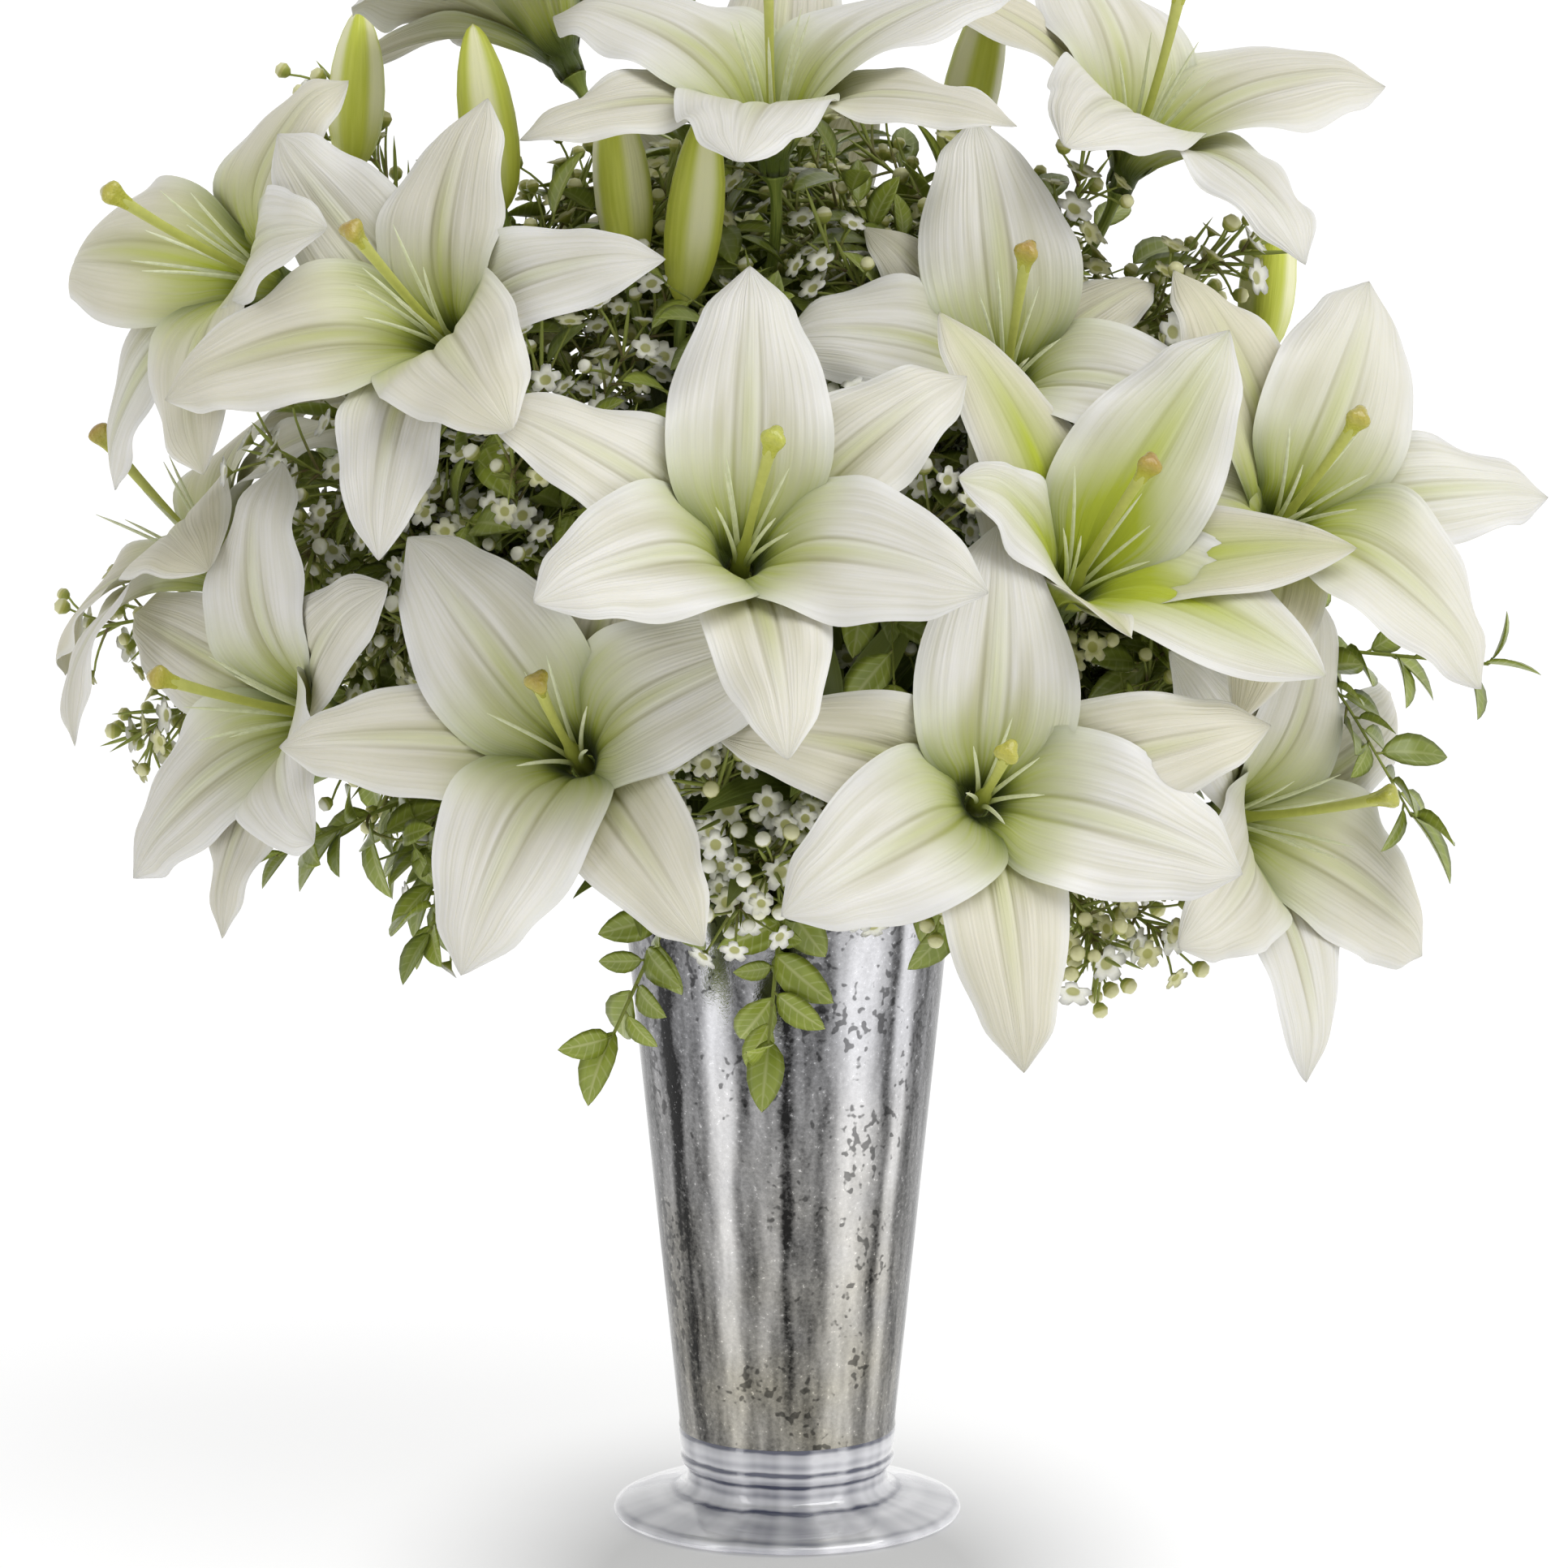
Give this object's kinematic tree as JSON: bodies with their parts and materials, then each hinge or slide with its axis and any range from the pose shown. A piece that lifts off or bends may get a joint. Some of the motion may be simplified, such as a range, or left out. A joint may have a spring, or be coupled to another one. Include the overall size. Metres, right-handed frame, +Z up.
{
  "type": "lilies in a vase",
  "caption": "Bouquet of open white lilies with buds, waxflower and small-leaved sprays, standing in water in a tapered silvered glass vase on a clear round foot.",
  "frame": {"origin": "middle of the vase's foot, on the surface that it stands on", "axes": "+Z up along the vase, -Y towards the arrangement's front, +X to the right as seen from the front"},
  "size_m": [0.4893, 0.429, 0.5622],
  "materials": {
    "silvered_glass": "glass silvered and mottled inside, with a clear foot",
    "water": "clear water",
    "tepal": "soft white petal, yellow-green in the throat",
    "lily_green": "satin fresh green stem, leaf, bud and pistil",
    "waxflower": "waxy white florets on thin green stalks",
    "huckleberry": "satin dark green leaves on thin twigs"
  },
  "bodies": {
    "root": {"vase": "silvered_glass", "water": "water", "lily_01": "tepal", "lily_02": "tepal", "lily_03": "tepal", "lily_04": "tepal", "lily_05": "tepal", "lily_06": "tepal", "lily_07": "tepal", "lily_08": "tepal", "lily_09": "tepal", "lily_10": "tepal", "lily_11": "tepal", "lily_12": "tepal", "lily_13": "tepal", "lily_14": "tepal", "lily_15": "tepal", "lily_16": "tepal", "lily_17": "tepal", "lily_stem_01": "lily_green", "lily_stem_02": "lily_green", "lily_stem_03": "lily_green", "lily_stem_04": "lily_green", "lily_stem_05": "lily_green", "lily_stem_06": "lily_green", "lily_stem_07": "lily_green", "lily_stem_08": "lily_green", "lily_stem_09": "lily_green", "lily_stem_10": "lily_green", "waxflower_01": "waxflower", "waxflower_02": "waxflower", "waxflower_03": "waxflower", "waxflower_04": "waxflower", "waxflower_05": "waxflower", "waxflower_06": "waxflower", "waxflower_07": "waxflower", "waxflower_08": "waxflower", "waxflower_09": "waxflower", "huckleberry_01": "huckleberry", "huckleberry_02": "huckleberry", "huckleberry_03": "huckleberry", "huckleberry_04": "huckleberry", "huckleberry_05": "huckleberry", "huckleberry_06": "huckleberry", "huckleberry_07": "huckleberry", "huckleberry_08": "huckleberry", "huckleberry_09": "huckleberry", "huckleberry_10": "huckleberry", "huckleberry_11": "huckleberry"}
  },
  "joints": []
}
